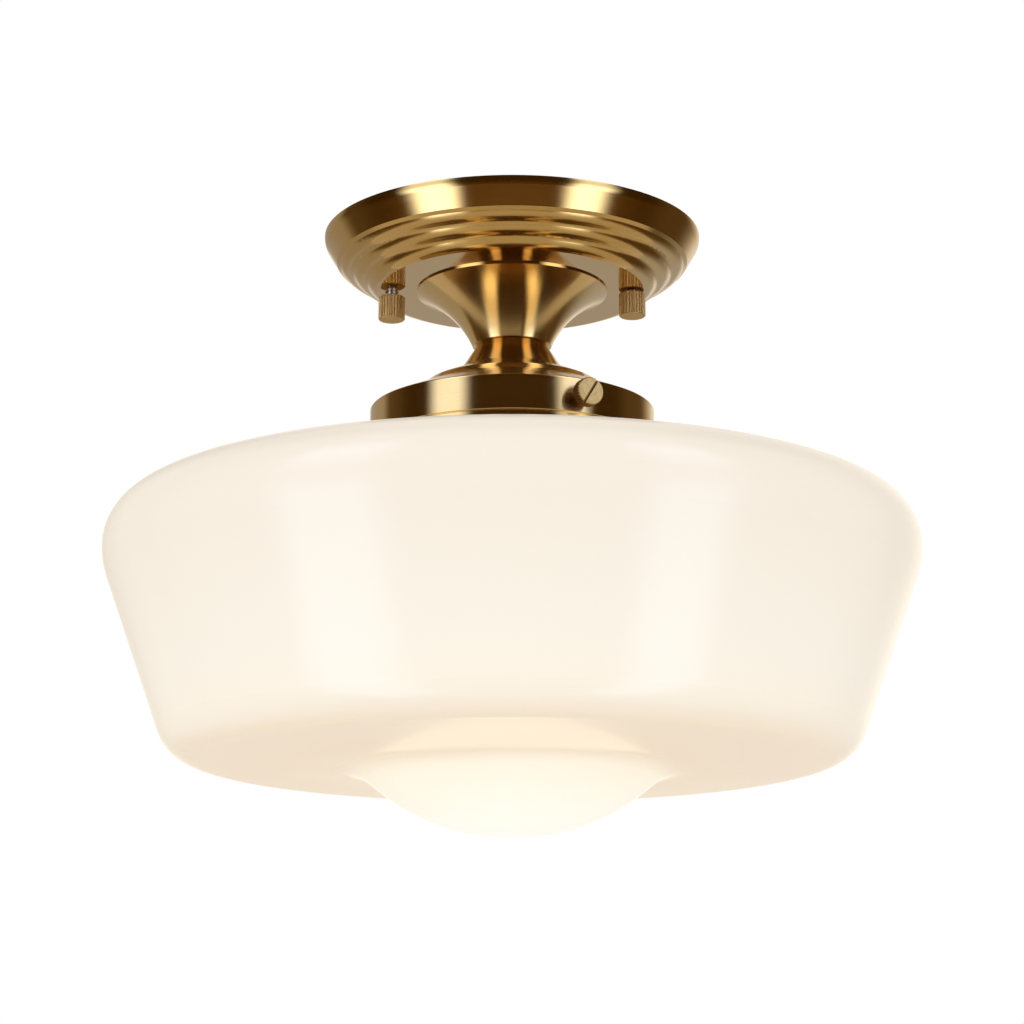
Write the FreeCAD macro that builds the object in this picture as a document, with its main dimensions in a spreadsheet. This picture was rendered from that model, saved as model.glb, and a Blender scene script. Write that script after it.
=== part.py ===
import FreeCAD, Part
import math
import os

import Sketcher

# Semi flush ceiling light: a spun brass canopy and trumpet neck carry a 4 inch shade fitter, which holds
# an opal glass shade by one thumb screw and two fixed lugs. Millimetres, +Z up. The origin is on the
# ceiling, midway between the two box screws, and the thumb screw faces the front, -Y.

doc = FreeCAD.newDocument("SemiFlushLight")
sheet = doc.addObject("Spreadsheet::Sheet", "Sizes")

SIZES = [
    # mounting bracket, a stamped steel cross against the ceiling
    ("bracket_thickness", 2.0, "mounting bracket, plate thickness"),
    ("bracket_arm_width", 20.0, "mounting bracket, width of each arm"),
    ("bracket_span", 108.0, "mounting bracket, length of each arm, end to end"),
    ("bracket_corner", 3.0, "mounting bracket, corner radius"),
    ("wire_hole_radius", 8.0, "mounting bracket, radius of the supply wire hole"),
    ("box_screw_spacing", 79.4, "box screw slots, centre to centre, for 70 to 89 mm boxes"),
    ("box_slot_length", 15.4, "box screw slots, end to end"),
    ("box_slot_radius", 2.4, "box screw slots, half width"),
    ("ground_screw_place", 24.0, "ground screw, distance from the middle"),
    # canopy studs and the knurled cap nuts on them
    ("stud_spacing", 91.0, "canopy studs, centre to centre"),
    ("stud_radius", 2.0, "canopy studs, thread radius"),
    ("stud_length", 28.0, "canopy studs, length below the ceiling"),
    ("thread_pitch", 0.8, "stud thread, pitch"),
    ("thread_depth", 0.35, "stud thread, depth"),
    ("small_nut_flats", 7.0, "stud lock nut, across the flats"),
    ("small_nut_height", 3.2, "stud lock nut, height"),
    ("cap_nut_radius", 5.0, "knurled cap nut, radius"),
    ("cap_nut_height", 9.0, "knurled cap nut, height"),
    ("cap_nut_end", 1.0, "knurled cap nut, closed end thickness"),
    ("cap_nut_chamfer", 0.4, "knurled cap nut, edge chamfer"),
    ("right_nut_gap", 0.6, "right cap nut, gap below the canopy"),
    ("left_nut_gap", 2.0, "left cap nut, gap below the canopy, not run up"),
    ("knurl_depth", 0.35, "knurling, groove depth"),
    # canopy
    ("canopy_radius", 71.1, "canopy, radius at the ceiling"),
    ("canopy_height", 20.4, "canopy, depth from the ceiling to its flat"),
    ("canopy_wall", 1.0, "canopy, sheet thickness"),
    ("canopy_rim", 1.8, "canopy, upright edge at the ceiling"),
    ("canopy_rim_round", 5.0, "canopy, radius between the edge and the band"),
    ("band_inset", 4.7, "canopy, how far the foot of the smooth band lies inside the edge"),
    ("band_height", 9.7, "canopy, depth of the smooth band"),
    ("rib_ledge_width", 1.4, "canopy, run from the band to the first rib"),
    ("rib_ledge", 1.0, "canopy, drop from the band to the first rib"),
    ("rib_round", 5.2, "canopy, radius of each rib"),
    ("valley_round", 2.4, "canopy, radius of the valleys between the ribs"),
    ("rib_run", 14.4, "canopy, width of the three ribs together"),
    ("rib_foot_step", 0.2, "canopy, drop from the last rib to the flat"),
    ("flat_step", 0.8, "canopy, run from the last rib to the mirror flat"),
    # trumpet neck
    ("trumpet_top_radius", 36.0, "trumpet neck, radius of its edge"),
    ("trumpet_edge", 0.6, "trumpet neck, height of its edge"),
    ("trumpet_flare", 40.0, "trumpet neck, radius of its hollow flank"),
    ("trumpet_foot_radius", 14.8, "trumpet neck, radius at its foot"),
    ("trumpet_height", 21.6, "trumpet neck, height"),
    ("trumpet_wall", 1.0, "trumpet neck, sheet thickness"),
    # threaded tube and its nuts
    ("tube_radius", 5.0, "threaded tube, radius"),
    ("tube_bore", 3.9, "threaded tube, radius of the bore"),
    ("tube_above", 6.6, "threaded tube, length above the canopy floor"),
    ("tube_below", 16.2, "threaded tube, length below the trumpet foot"),
    ("tube_nut_flats", 14.0, "tube lock nut, across the flats"),
    ("tube_nut_height", 3.5, "tube lock nut, height"),
    ("tube_washer_radius", 9.0, "tube washer, radius"),
    ("washer_thickness", 1.0, "tube washer, thickness"),
    # shade fitter
    ("fitter_neck_radius", 13.2, "fitter, radius at the top of its neck"),
    ("fitter_neck_foot", 19.6, "fitter, radius at the foot of its neck"),
    ("fitter_neck_height", 10.0, "fitter, height of the neck"),
    ("dome_knee_radius", 32.5, "fitter, radius at the knee of the dome"),
    ("dome_knee_drop", 5.6, "fitter, drop from the neck foot to the knee"),
    ("dome_step_width", 2.2, "fitter, width of the step below the knee"),
    ("dome_step_height", 2.4, "fitter, height of the step below the knee"),
    ("dome_step_round", 1.2, "fitter, radius of the knee and of the step's foot"),
    ("dome_drop", 15.9, "fitter, drop from the neck foot to the collar"),
    ("collar_radius", 53.1, "fitter collar, radius"),
    ("collar_height", 16.1, "fitter collar, height"),
    ("collar_edge_round", 0.5, "fitter collar, top edge radius"),
    ("bead_height", 3.2, "fitter collar, height of the rolled edge"),
    ("bead_groove", 0.4, "fitter collar, depth of the groove over the rolled edge"),
    ("fitter_wall", 1.0, "fitter, sheet thickness"),
    ("lug_radius", 2.25, "fitter lug, radius"),
    ("lug_grip", 0.4, "fitter lugs and thumb screw, gap to the glass neck"),
    ("screw_boss_radius", 4.0, "fitter, radius of the threaded boss"),
    ("screw_boss_reach", 1.6, "fitter, how far the boss stands inside the collar"),
    # thumb screw
    ("screw_azimuth", 27.0, "thumb screw, degrees from the front towards +X"),
    ("screw_drop", 6.8, "thumb screw, drop of its axis below the collar's top edge"),
    ("screw_radius", 2.0, "thumb screw, shank radius"),
    ("screw_head_radius", 5.1, "thumb screw, head radius"),
    ("screw_head_height", 4.4, "thumb screw, head thickness"),
    ("screw_stand_off", 4.2, "thumb screw, gap from the collar to the head"),
    ("screw_slot_width", 0.95, "thumb screw, slot width"),
    ("screw_slot_depth", 1.1, "thumb screw, slot depth"),
    ("screw_slot_turn", 58.0, "thumb screw, turn of the slot in degrees"),
    # opal glass shade
    ("shade_wall", 3.6, "shade, glass thickness"),
    ("shade_lip_gap", 2.3, "shade, gap from the collar's inside to the lip"),
    ("shade_lip_height", 3.2, "shade, height of the lip"),
    ("shade_lip_round", 0.8, "shade, edge radius of the lip"),
    ("shade_lip_width", 3.2, "shade, how far the lip stands out from the neck"),
    ("shade_neck_round", 3.0, "shade, radius between neck and shoulder"),
    ("shoulder_gap", 3.2, "shade, gap from the collar's edge to the shoulder"),
    ("shoulder_slope", 12.5, "shade, slope of the shoulder in degrees"),
    ("shoulder_round", 17.7, "shade, radius over the widest part"),
    ("shade_radius", 149.9, "shade, largest radius"),
    ("belly_band", 0.3, "shade, height of the upright band at its widest part"),
    ("belly_round", 30.0, "shade, radius under the widest part"),
    ("base_inset", 25.3, "shade, how far its lower corner lies inside the widest part"),
    ("base_rise", 26.5, "shade, height of its lower corner above its lowest point"),
    ("base_round", 16.0, "shade, radius of its lower corner"),
    ("underside_slope", 2.3, "shade, slope of the underside in degrees"),
    ("bulge_radius", 57.0, "shade, radius at the foot of the bulge"),
    ("bulge_slope", 41.0, "shade, slope of the bulge's flank in degrees"),
    ("bulge_flat", 1.7, "shade, radius of the level spot under the bulge"),
    ("bulge_foot_share", 0.21, "shade, share of the bulge's flank that its rounded foot takes"),
    ("total_height", 226.1, "whole light, from the ceiling to the bulge"),
    # lamp holder
    ("holder_cap_radius", 19.4, "lamp holder cap, radius"),
    ("holder_cap_wall", 0.9, "lamp holder cap, sheet thickness"),
    ("holder_cap_height", 12.0, "lamp holder cap, height"),
    ("holder_hub_radius", 7.6, "lamp holder cap, radius of the hub"),
    ("holder_hub_height", 4.6, "lamp holder cap, height of the hub"),
    ("set_screw_radius", 1.5, "hub set screw, radius"),
    ("holder_body_height", 40.7, "lamp holder body, height"),
    ("holder_body_bore", 14.6, "lamp holder body, radius of the lamp cavity"),
    ("holder_wiring_depth", 8.2, "lamp holder body, depth of the wiring space"),
    ("holder_floor", 3.5, "lamp holder body, thickness of the floor"),
    ("holder_rim", 2.0, "lamp holder body, height of the rim"),
    ("shell_wall", 0.5, "lamp holder shell, sheet thickness"),
    ("shell_height", 25.0, "lamp holder shell, height"),
    ("terminal_place", 9.0, "lamp holder terminals, distance from the middle"),
    ("terminal_radius", 2.8, "lamp holder terminal screw, head radius"),
    ("terminal_height", 2.2, "lamp holder terminal screw, head height"),
    # lamp
    ("lamp_cap_radius", 13.0, "lamp, radius of the screw cap"),
    ("lamp_cap_height", 24.0, "lamp, height of the screw cap"),
    ("lamp_cap_wall", 0.7, "lamp, sheet thickness of the screw cap"),
    ("cap_thread_pitch", 3.6, "lamp, thread pitch"),
    ("cap_thread_depth", 0.8, "lamp, thread depth"),
    ("insulator_height", 2.6, "lamp, height of the black insulator"),
    ("insulator_radius", 9.0, "lamp, radius of the insulator"),
    ("contact_radius", 4.0, "lamp, radius of the end contact"),
    ("contact_height", 1.0, "lamp, height of the end contact"),
    ("globe_radius", 30.0, "lamp, radius of the globe"),
    ("globe_wall", 1.0, "lamp, glass thickness"),
    ("lamp_length", 108.0, "lamp, overall length"),
    # leads and connectors
    ("lead_radius", 0.9, "leads, radius over the insulation"),
    ("lead_bend", 7.5, "leads, largest bend radius"),
    ("lead_offset", 1.6, "leads, distance from the tube's axis"),
    ("connector_radius", 4.6, "wire connector, radius at the mouth"),
    ("connector_tip_radius", 2.8, "wire connector, radius at the tip"),
    ("connector_length", 18.0, "wire connector, length"),
    ("connector_depth", 10.0, "wire connector, depth of its bore"),
    ("connector_place", 27.0, "wire connector, distance of the mouth from the middle"),
    ("connector_drop", 11.0, "wire connector, depth of its axis below the ceiling"),
    # clearances
    ("hole_clearance", 0.6, "radial clearance of a screw in a plain hole"),
    ("thread_clearance", 0.05, "radial clearance of a thread in its nut"),
    ("part_clearance", 0.3, "gap between pieces that don't touch"),
]
RIB_COUNT = 3
KNURL_COUNT = 30
CONNECTOR_RIBS = 12
LUG_TURNS = (120.0, 240.0)

for row, (alias, number, meaning) in enumerate(SIZES, start=1):
    sheet.set(f"A{row}", meaning)
    sheet.set(f"B{row}", str(number))
    sheet.setAlias(f"B{row}", alias)
doc.recompute()


class Size:
    """A length or angle kept as the sheet expression that works it out."""

    def __init__(self, text):
        self.text = text

    @property
    def value(self):
        return float(sheet.evalExpression(self.text))

    def joined(self, sign, other, swapped=False):
        other_text = other.text if isinstance(other, Size) else repr(float(other))
        first, second = (other_text, self.text) if swapped else (self.text, other_text)
        return Size(f"({first} {sign} {second})")

    def __add__(self, other):
        return self.joined("+", other)

    def __radd__(self, other):
        return self.joined("+", other, swapped=True)

    def __sub__(self, other):
        return self.joined("-", other)

    def __rsub__(self, other):
        return self.joined("-", other, swapped=True)

    def __mul__(self, other):
        return self.joined("*", other)

    def __rmul__(self, other):
        return self.joined("*", other, swapped=True)

    def __truediv__(self, other):
        return self.joined("/", other)

    def __neg__(self):
        return self.joined("-", 0.0, swapped=True)


def size(alias):
    return Size(f"Sizes.{alias}")


def tangent(angle):
    return Size(f"tan({angle.text} * 1 deg)")


def cosine(angle):
    return Size(f"cos({angle.text} * 1 deg)")


def sine(angle):
    return Size(f"sin({angle.text} * 1 deg)")


def smaller(first, second):
    return Size(f"min({first.text}; {second.text})")


def slant(slope):
    """Length along a line for each unit straight across it, where slope is the line's tangent."""
    return Size(f"sqrt(1 + {slope.text} * {slope.text})")


def number(length):
    return length.value if isinstance(length, Size) else float(length)


def bind(owner, path, length):
    """Ties a property or constraint to the sheet, or sets it where the length is a plain number."""
    if isinstance(length, Size):
        owner.setExpression(path, length.text)


# Depths shared by neighbouring pieces, as heights below the ceiling.
CANOPY_FLAT = -size("canopy_height")
BAND_FOOT = size("canopy_radius") - size("band_inset")
RIB_TOP = BAND_FOOT - size("rib_ledge_width")
RIB_FOOT = RIB_TOP - size("rib_run")
CANOPY_FLOOR = CANOPY_FLAT + size("canopy_wall")
TRUMPET_FOOT = CANOPY_FLAT - size("trumpet_height")
NECK_FOOT = TRUMPET_FOOT - size("fitter_neck_height")
COLLAR_TOP = NECK_FOOT - size("dome_drop")
COLLAR_FOOT = COLLAR_TOP - size("collar_height")
COLLAR_INSIDE = size("collar_radius") - size("fitter_wall")
SHADE_LIP = COLLAR_INSIDE - size("shade_lip_gap")
SHADE_NECK = SHADE_LIP - size("shade_lip_width")
SCREW_AXIS = COLLAR_TOP - size("screw_drop")
LIP_FOOT = SCREW_AXIS + size("lug_radius") + size("thread_clearance")
LIP_TOP = LIP_FOOT + size("shade_lip_height")
GRIP_RADIUS = SHADE_NECK + size("lug_grip")
TUBE_TOP = CANOPY_FLOOR + size("tube_above")
TUBE_FOOT = TRUMPET_FOOT - size("tube_below")
HOLDER_CAP_TOP = TUBE_FOOT + size("holder_cap_wall")
HOLDER_TOP = TUBE_FOOT - size("thread_clearance")
HOLDER_FLOOR_TOP = HOLDER_TOP - size("holder_wiring_depth")
HOLDER_FLOOR_FOOT = HOLDER_FLOOR_TOP - size("holder_floor")
HOLDER_FOOT = HOLDER_TOP - size("holder_body_height")
SHELL_TOP = HOLDER_FLOOR_FOOT
LAMP_TOP = HOLDER_FLOOR_FOOT - size("shell_wall") - size("contact_height") - size("part_clearance")
INSULATOR_TOP = LAMP_TOP - size("contact_height")
LAMP_CAP_TOP = INSULATOR_TOP - size("insulator_height")
LAMP_CAP_FOOT = LAMP_CAP_TOP - size("lamp_cap_height")
LAMP_FOOT = LAMP_TOP - size("lamp_length")


def corner_geometry(before, here, after, radius):
    """Start, end and centre of the arc that rounds a corner, and which way it turns."""
    into = FreeCAD.Vector(here[0] - before[0], here[1] - before[1], 0).normalize()
    out = FreeCAD.Vector(after[0] - here[0], after[1] - here[1], 0).normalize()
    turn = into.cross(out).z
    reach = radius * math.tan(into.getAngle(out) / 2)
    corner = FreeCAD.Vector(here[0], here[1], 0)
    start = corner - into * reach
    end = corner + out * reach
    side = 1.0 if turn > 0 else -1.0
    centre = start + FreeCAD.Vector(-into.y, into.x, 0) * (radius * side)
    return start, end, centre, side > 0


def edge_arc(start, end, radius):
    """Centre of an arc edge: a positive radius bends it to the right of the way it runs."""
    chord = end - start
    middle = (start + end) * 0.5
    height = math.sqrt(radius * radius - (chord.Length / 2) ** 2)
    left = FreeCAD.Vector(-chord.y, chord.x, 0).normalize()
    side = 1.0 if radius > 0 else -1.0
    return middle + left * (height * side), side > 0


def arc_between(centre, start, end, turns_left):
    first, last = (start, end) if turns_left else (end, start)
    angles = []
    for point in (first, last):
        angles.append(math.atan2(point.y - centre.y, point.x - centre.x))
    if angles[1] <= angles[0]:
        angles[1] += 2 * math.pi
    circle = Part.Circle(centre, FreeCAD.Vector(0, 0, 1), (start - centre).Length)
    return Part.ArcOfCircle(circle, angles[0], angles[1])


def outline(body, name, corners, plane="XZ_Plane"):
    """Closed sketch through (x, y), (x, y, round radius) or (x, y, None, radius of the next edge)."""
    sketch = body.newObject("Sketcher::SketchObject", name)
    origin_plane = [item for item in body.Origin.OriginFeatures if item.Role == plane][0]
    sketch.AttachmentSupport = (origin_plane, [""])
    sketch.MapMode = "FlatFace"
    count = len(corners)
    spots = [(number(corner[0]), number(corner[1])) for corner in corners]
    rounds = [corner[2] if len(corner) > 2 else None for corner in corners]
    bends = [corner[3] if len(corner) > 3 else None for corner in corners]
    starts = []
    ends = []
    arcs = {}
    for index, spot in enumerate(spots):
        if rounds[index] is None:
            starts.append(FreeCAD.Vector(spot[0], spot[1], 0))
            ends.append(starts[-1])
            continue
        radius = number(rounds[index])
        start, end, centre, left = corner_geometry(spots[index - 1], spot, spots[(index + 1) % count], radius)
        ends.append(start)
        starts.append(end)
        arcs[index] = arc_between(centre, start, end, left), left
    geometry = []
    runs_forward = []
    for index in range(count):
        start, end = starts[index], ends[(index + 1) % count]
        if bends[index] is None:
            geometry.append(Part.LineSegment(start, end))
            runs_forward.append(True)
        else:
            centre, left = edge_arc(start, end, number(bends[index]))
            geometry.append(arc_between(centre, start, end, left))
            runs_forward.append(left)
    arc_number = {}
    point_number = {}
    for index, (arc, left) in arcs.items():
        arc_number[index] = len(geometry)
        geometry.append(arc)
        runs_forward.append(left)
    for index in arcs:
        point_number[index] = len(geometry)
        geometry.append(Part.Point(FreeCAD.Vector(spots[index][0], spots[index][1], 0)))
    sketch.addGeometry(geometry)
    for index in arcs:
        sketch.setConstruction(point_number[index], True)

    def head(item):
        return 1 if runs_forward[item] else 2

    def tail(item):
        return 2 if runs_forward[item] else 1

    constraints = []
    bound = []

    def place(item, end, corner):
        for kind, length in (("DistanceX", corner[0]), ("DistanceY", corner[1])):
            if kind == "DistanceX" and not isinstance(length, Size) and length == 0:
                constraints.append(Sketcher.Constraint("PointOnObject", item, end, -2))
                continue
            bound.append((len(constraints), length))
            constraints.append(Sketcher.Constraint(kind, item, end, number(length)))

    for index in range(count):
        before = (index - 1) % count
        if index in arcs:
            arc, point = arc_number[index], point_number[index]
            constraints.append(Sketcher.Constraint("Tangent", before, tail(before), arc, head(arc)))
            constraints.append(Sketcher.Constraint("Tangent", arc, tail(arc), index, head(index)))
            bound.append((len(constraints), rounds[index]))
            constraints.append(Sketcher.Constraint("Radius", arc, number(rounds[index])))
            constraints.append(Sketcher.Constraint("PointOnObject", point, 1, before))
            constraints.append(Sketcher.Constraint("PointOnObject", point, 1, index))
            place(point, 1, corners[index])
        else:
            constraints.append(Sketcher.Constraint("Coincident", before, tail(before), index, head(index)))
            place(index, head(index), corners[index])
        if bends[index] is not None:
            radius = bends[index]
            bound.append((len(constraints), radius if number(radius) > 0 else -radius))
            constraints.append(Sketcher.Constraint("Radius", index, abs(number(radius))))
    sketch.addConstraint(constraints)
    for index, length in bound:
        bind(sketch, f"Constraints[{index}]", length)
    return sketch


def new_body(label):
    body = doc.addObject("PartDesign::Body", label)
    body.Label = label
    return body


def turned(label, corners):
    """Body made by turning an outline about its own Z axis."""
    body = new_body(label)
    sketch = outline(body, f"{label}_outline", corners)
    revolution = body.newObject("PartDesign::Revolution", f"{label}_turned")
    revolution.Profile = sketch
    revolution.ReferenceAxis = (sketch, ["V_Axis"])
    revolution.Angle = 360
    doc.recompute()
    return body


def tube_corners(inner, outer, foot, top):
    return [(inner, foot), (outer, foot), (outer, top), (inner, top)]


def circle_sketch(body, name, circles, plane="XY_Plane"):
    """Sketch of full circles, each (x, y, radius)."""
    sketch = body.newObject("Sketcher::SketchObject", name)
    origin_plane = [item for item in body.Origin.OriginFeatures if item.Role == plane][0]
    sketch.AttachmentSupport = (origin_plane, [""])
    sketch.MapMode = "FlatFace"
    for x, y, radius in circles:
        centre = FreeCAD.Vector(number(x), number(y), 0)
        item = sketch.addGeometry(Part.Circle(centre, FreeCAD.Vector(0, 0, 1), number(radius)))
        index = sketch.addConstraint(Sketcher.Constraint("Radius", item, number(radius)))
        bind(sketch, f"Constraints[{index}]", radius)
        for kind, length in (("DistanceX", x), ("DistanceY", y)):
            index = sketch.addConstraint(Sketcher.Constraint(kind, item, 3, number(length)))
            bind(sketch, f"Constraints[{index}]", length)
    return sketch


def cut_through(body, name, sketch):
    """Pocket through the whole body, both ways from the sketch."""
    before = body.Shape.Volume
    pocket = body.newObject("PartDesign::Pocket", name)
    pocket.Profile = sketch
    pocket.Type = 1
    pocket.Midplane = True
    doc.recompute()
    if not body.Shape.Volume < before:
        raise RuntimeError(f"{name} cuts nothing")
    return pocket


def repeated_round(body, name, feature, copies):
    """Copies of a feature spaced evenly about the body's Z axis."""
    axis = [item for item in body.Origin.OriginFeatures if item.Role == "Z_Axis"][0]
    pattern = body.newObject("PartDesign::PolarPattern", name)
    pattern.Originals = [feature]
    pattern.Axis = (axis, [""])
    pattern.Angle = 360
    pattern.Occurrences = copies
    body.Tip = pattern
    doc.recompute()
    return pattern


def knurled(body, radius):
    """Straight knurling: one V groove down the side, repeated around."""
    depth = size("knurl_depth")
    half_width = radius * (math.tan(math.pi / KNURL_COUNT) * 0.8)
    outside = radius + depth
    corners = [(radius - depth, 0), (outside, half_width * 1.9), (outside, -half_width * 1.9)]
    groove = cut_through(body, f"{body.Label}_groove", outline(body, f"{body.Label}_vee", corners, "XY_Plane"))
    repeated_round(body, f"{body.Label}_knurl", groove, KNURL_COUNT)


def hexagon(label, flats, bore, foot, top):
    """Plain hexagon nut standing about the body's Z axis."""
    body = new_body(label)
    across = flats / math.sqrt(3)
    corners = []
    for step in range(6):
        angle = math.radians(60 * step)
        corners.append((across * math.cos(angle), across * math.sin(angle)))
    pad = body.newObject("PartDesign::Pad", f"{label}_pad")
    pad.Profile = outline(body, f"{label}_hexagon", corners, "XY_Plane")
    bind(pad, "Length", top - foot)
    doc.recompute()
    cut_through(body, f"{label}_bore", circle_sketch(body, f"{label}_bore_circle", [(0, 0, bore)]))
    move(body, (0, 0, foot))
    return body


def move(item, base, azimuth=None):
    """Places a piece, or points its Z axis outwards at an azimuth measured from the front."""
    if azimuth is not None:
        about_z = FreeCAD.Rotation(FreeCAD.Vector(0, 0, 1), azimuth - 90)
        lay_down = FreeCAD.Rotation(FreeCAD.Vector(0, 1, 0), 90)
        item.Placement = FreeCAD.Placement(FreeCAD.Vector(), about_z * lay_down)
    for axis, length in zip("xyz", base):
        bind(item, f"Placement.Base.{axis}", length)
    if not any(isinstance(length, Size) for length in base):
        item.Placement.Base = FreeCAD.Vector(*base)


def cylinder(name, radius, height, base=(0, 0, 0), azimuth=None):
    item = doc.addObject("Part::Cylinder", name)
    bind(item, "Radius", radius)
    bind(item, "Height", height)
    move(item, base, azimuth)
    return item


def ringed(body, name, radius, foot, top):
    """Thread stood in for by level rings: one V groove, repeated up the shank."""
    pitch, depth = size("thread_pitch"), size("thread_depth")
    middle = foot + pitch
    corners = [(radius - depth, middle), (radius + depth, middle - pitch * 0.6)]
    corners.append((radius + depth, middle + pitch * 0.6))
    before = body.Shape.Volume
    groove = body.newObject("PartDesign::Groove", f"{name}_groove")
    groove.Profile = outline(body, f"{name}_vee", corners)
    groove.ReferenceAxis = (groove.Profile[0], ["V_Axis"])
    groove.Angle = 360
    doc.recompute()
    if not body.Shape.Volume < before:
        raise RuntimeError(f"{name} groove cuts nothing")
    copies = int((number(top) - number(foot)) / number(pitch)) - 1
    axis = [item for item in body.Origin.OriginFeatures if item.Role == "Z_Axis"][0]
    pattern = body.newObject("PartDesign::LinearPattern", f"{name}_thread")
    pattern.Originals = [groove]
    pattern.Direction = (axis, [""])
    pattern.Length = number(pitch) * (copies - 1)
    pattern.Occurrences = copies
    body.Tip = pattern
    doc.recompute()


def mounting_bracket():
    """Stamped steel cross: long arm for the canopy studs, cross arm with the box screw slots."""
    half, arm = size("bracket_span") / 2, size("bracket_arm_width") / 2
    round_off = size("bracket_corner")
    body = new_body("mounting_bracket")
    cross = [(half, -arm, round_off), (half, arm, round_off), (arm, arm), (arm, half, round_off)]
    cross += [(-arm, half, round_off), (-arm, arm), (-half, arm, round_off), (-half, -arm, round_off)]
    cross += [(-arm, -arm), (-arm, -half, round_off), (arm, -half, round_off), (arm, -arm)]
    pad = body.newObject("PartDesign::Pad", "bracket_plate")
    pad.Profile = outline(body, "bracket_cross", cross, "XY_Plane")
    bind(pad, "Length", size("bracket_thickness"))
    pad.Reversed = True
    doc.recompute()
    stud_hole = size("stud_radius") + size("thread_clearance")
    stud_x = size("stud_spacing") / 2
    holes = [(0, 0, size("wire_hole_radius")), (stud_x, 0, stud_hole), (-stud_x, 0, stud_hole)]
    holes.append((size("ground_screw_place"), 0, stud_hole))
    cut_through(body, "bracket_holes", circle_sketch(body, "bracket_hole_circles", holes))
    slot_y, slot_r = size("box_screw_spacing") / 2, size("box_slot_radius")
    run = size("box_slot_length") / 2 - slot_r
    for side, name in ((1.0, "rear"), (-1.0, "front")):
        corners = [(slot_r, slot_y * side - run, None, None), (slot_r, slot_y * side + run, None, slot_r * 1.0001)]
        corners += [(-slot_r, slot_y * side + run, None, None), (-slot_r, slot_y * side - run, None, slot_r * 1.0001)]
        cut_through(body, f"bracket_{name}_slot", outline(body, f"bracket_{name}_slot_line", corners, "XY_Plane"))
    return body


def canopy_studs():
    """Two threaded studs through the bracket, each locked by a hexagon nut, and their knurled cap nuts."""
    made = []
    stud_top, stud_foot = -size("part_clearance"), -size("stud_length")
    for side, name, gap in ((-1.0, "left", "left_nut_gap"), (1.0, "right", "right_nut_gap")):
        place = (size("stud_spacing") / 2 * side, 0, 0)
        chamfer = size("thread_depth")
        radius = size("stud_radius")
        corners = [(0, stud_foot), (radius - chamfer, stud_foot), (radius, stud_foot + chamfer)]
        corners += [(radius, stud_top), (0, stud_top)]
        stud = turned(f"canopy_stud_{name}", corners)
        ringed(stud, stud.Label, radius, stud_foot, CANOPY_FLAT)
        move(stud, place)
        nut_top = -size("bracket_thickness")
        bore = radius + size("thread_clearance")
        nut = hexagon(f"stud_lock_nut_{name}", size("small_nut_flats"), bore, nut_top - size("small_nut_height"), nut_top)
        bind(nut, "Placement.Base.x", place[0])
        made += [stud, nut, cap_nut(name, place, CANOPY_FLAT - size(gap))]
    return made


def cap_nut(name, place, top):
    """Knurled brass nut with a closed flat end."""
    radius, chamfer = size("cap_nut_radius"), size("cap_nut_chamfer")
    bore = size("stud_radius") + size("thread_clearance")
    foot = -size("cap_nut_height")
    corners = [(0, foot), (radius - chamfer, foot), (radius, foot + chamfer), (radius, -chamfer)]
    corners += [(radius - chamfer, 0), (bore, 0), (bore, foot + size("cap_nut_end")), (0, foot + size("cap_nut_end"))]
    body = turned(f"cap_nut_{name}", corners)
    knurled(body, radius)
    move(body, (place[0], 0, top))
    return body


def ground_screw():
    """Green screw in the bracket that takes the ground lead."""
    top = -size("bracket_thickness") - (size("lead_radius") + size("thread_clearance")) * 2.0
    head_radius, head = size("terminal_radius") * 1.6, size("terminal_height")
    corners = [(0, top - head), (head_radius * 0.8, top - head), (head_radius, top - head * 0.6)]
    corners += [(head_radius, top), (size("stud_radius"), top), (size("stud_radius"), -size("part_clearance"))]
    corners.append((0, -size("part_clearance")))
    body = turned("ground_screw", corners)
    move(body, (size("ground_screw_place"), 0, 0))
    return body


def rib_corners():
    """Ribs and valleys in turn, from the band down to the flat: each runs on into the next without a crease."""
    top_r, top_z = RIB_TOP, -size("band_height") - size("rib_ledge")
    foot_r, foot_z = RIB_FOOT, CANOPY_FLAT + size("rib_foot_step")
    rib, valley = size("rib_round"), size("valley_round")
    whole = rib * RIB_COUNT + valley * (RIB_COUNT - 1)
    corners = []
    run = whole * 0.0
    for step in range(RIB_COUNT * 2 - 1):
        rib_r = top_r - (top_r - foot_r) * run / whole
        rib_z = top_z - (top_z - foot_z) * run / whole
        bulge = valley if step % 2 else -rib
        corners.append((rib_r, rib_z, None, bulge))
        run = run + (valley if step % 2 else rib)
    corners.append((foot_r, foot_z))
    return corners


def canopy():
    """Spun brass pan: smooth band, three rolled ribs and a mirror flat, hollow above."""
    wall, rim = size("canopy_wall"), -size("canopy_rim")
    outer = [(size("canopy_radius"), 0), (size("canopy_radius"), rim, size("canopy_rim_round"))]
    outer += [(BAND_FOOT, -size("band_height"))] + rib_corners()
    outer.append((RIB_FOOT - size("flat_step"), CANOPY_FLAT))
    hole = size("tube_radius") + size("thread_clearance")
    inner = [(hole, CANOPY_FLAT), (hole, CANOPY_FLOOR), (RIB_FOOT - wall * 0.5, CANOPY_FLOOR)]
    inner.append((BAND_FOOT - wall * 0.6, wall * 1.1 - size("band_height")))
    inner.append((size("canopy_radius") - wall, rim + wall * 0.3, size("canopy_rim_round") - wall))
    inner.append((size("canopy_radius") - wall, 0))
    body = turned("canopy", outer + inner)
    stud_x = size("stud_spacing") / 2
    hole = size("stud_radius") + size("hole_clearance")
    circles = circle_sketch(body, "canopy_stud_circles", [(stud_x, 0, hole), (-stud_x, 0, hole)])
    cut_through(body, "canopy_stud_holes", circles)
    return body


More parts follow.
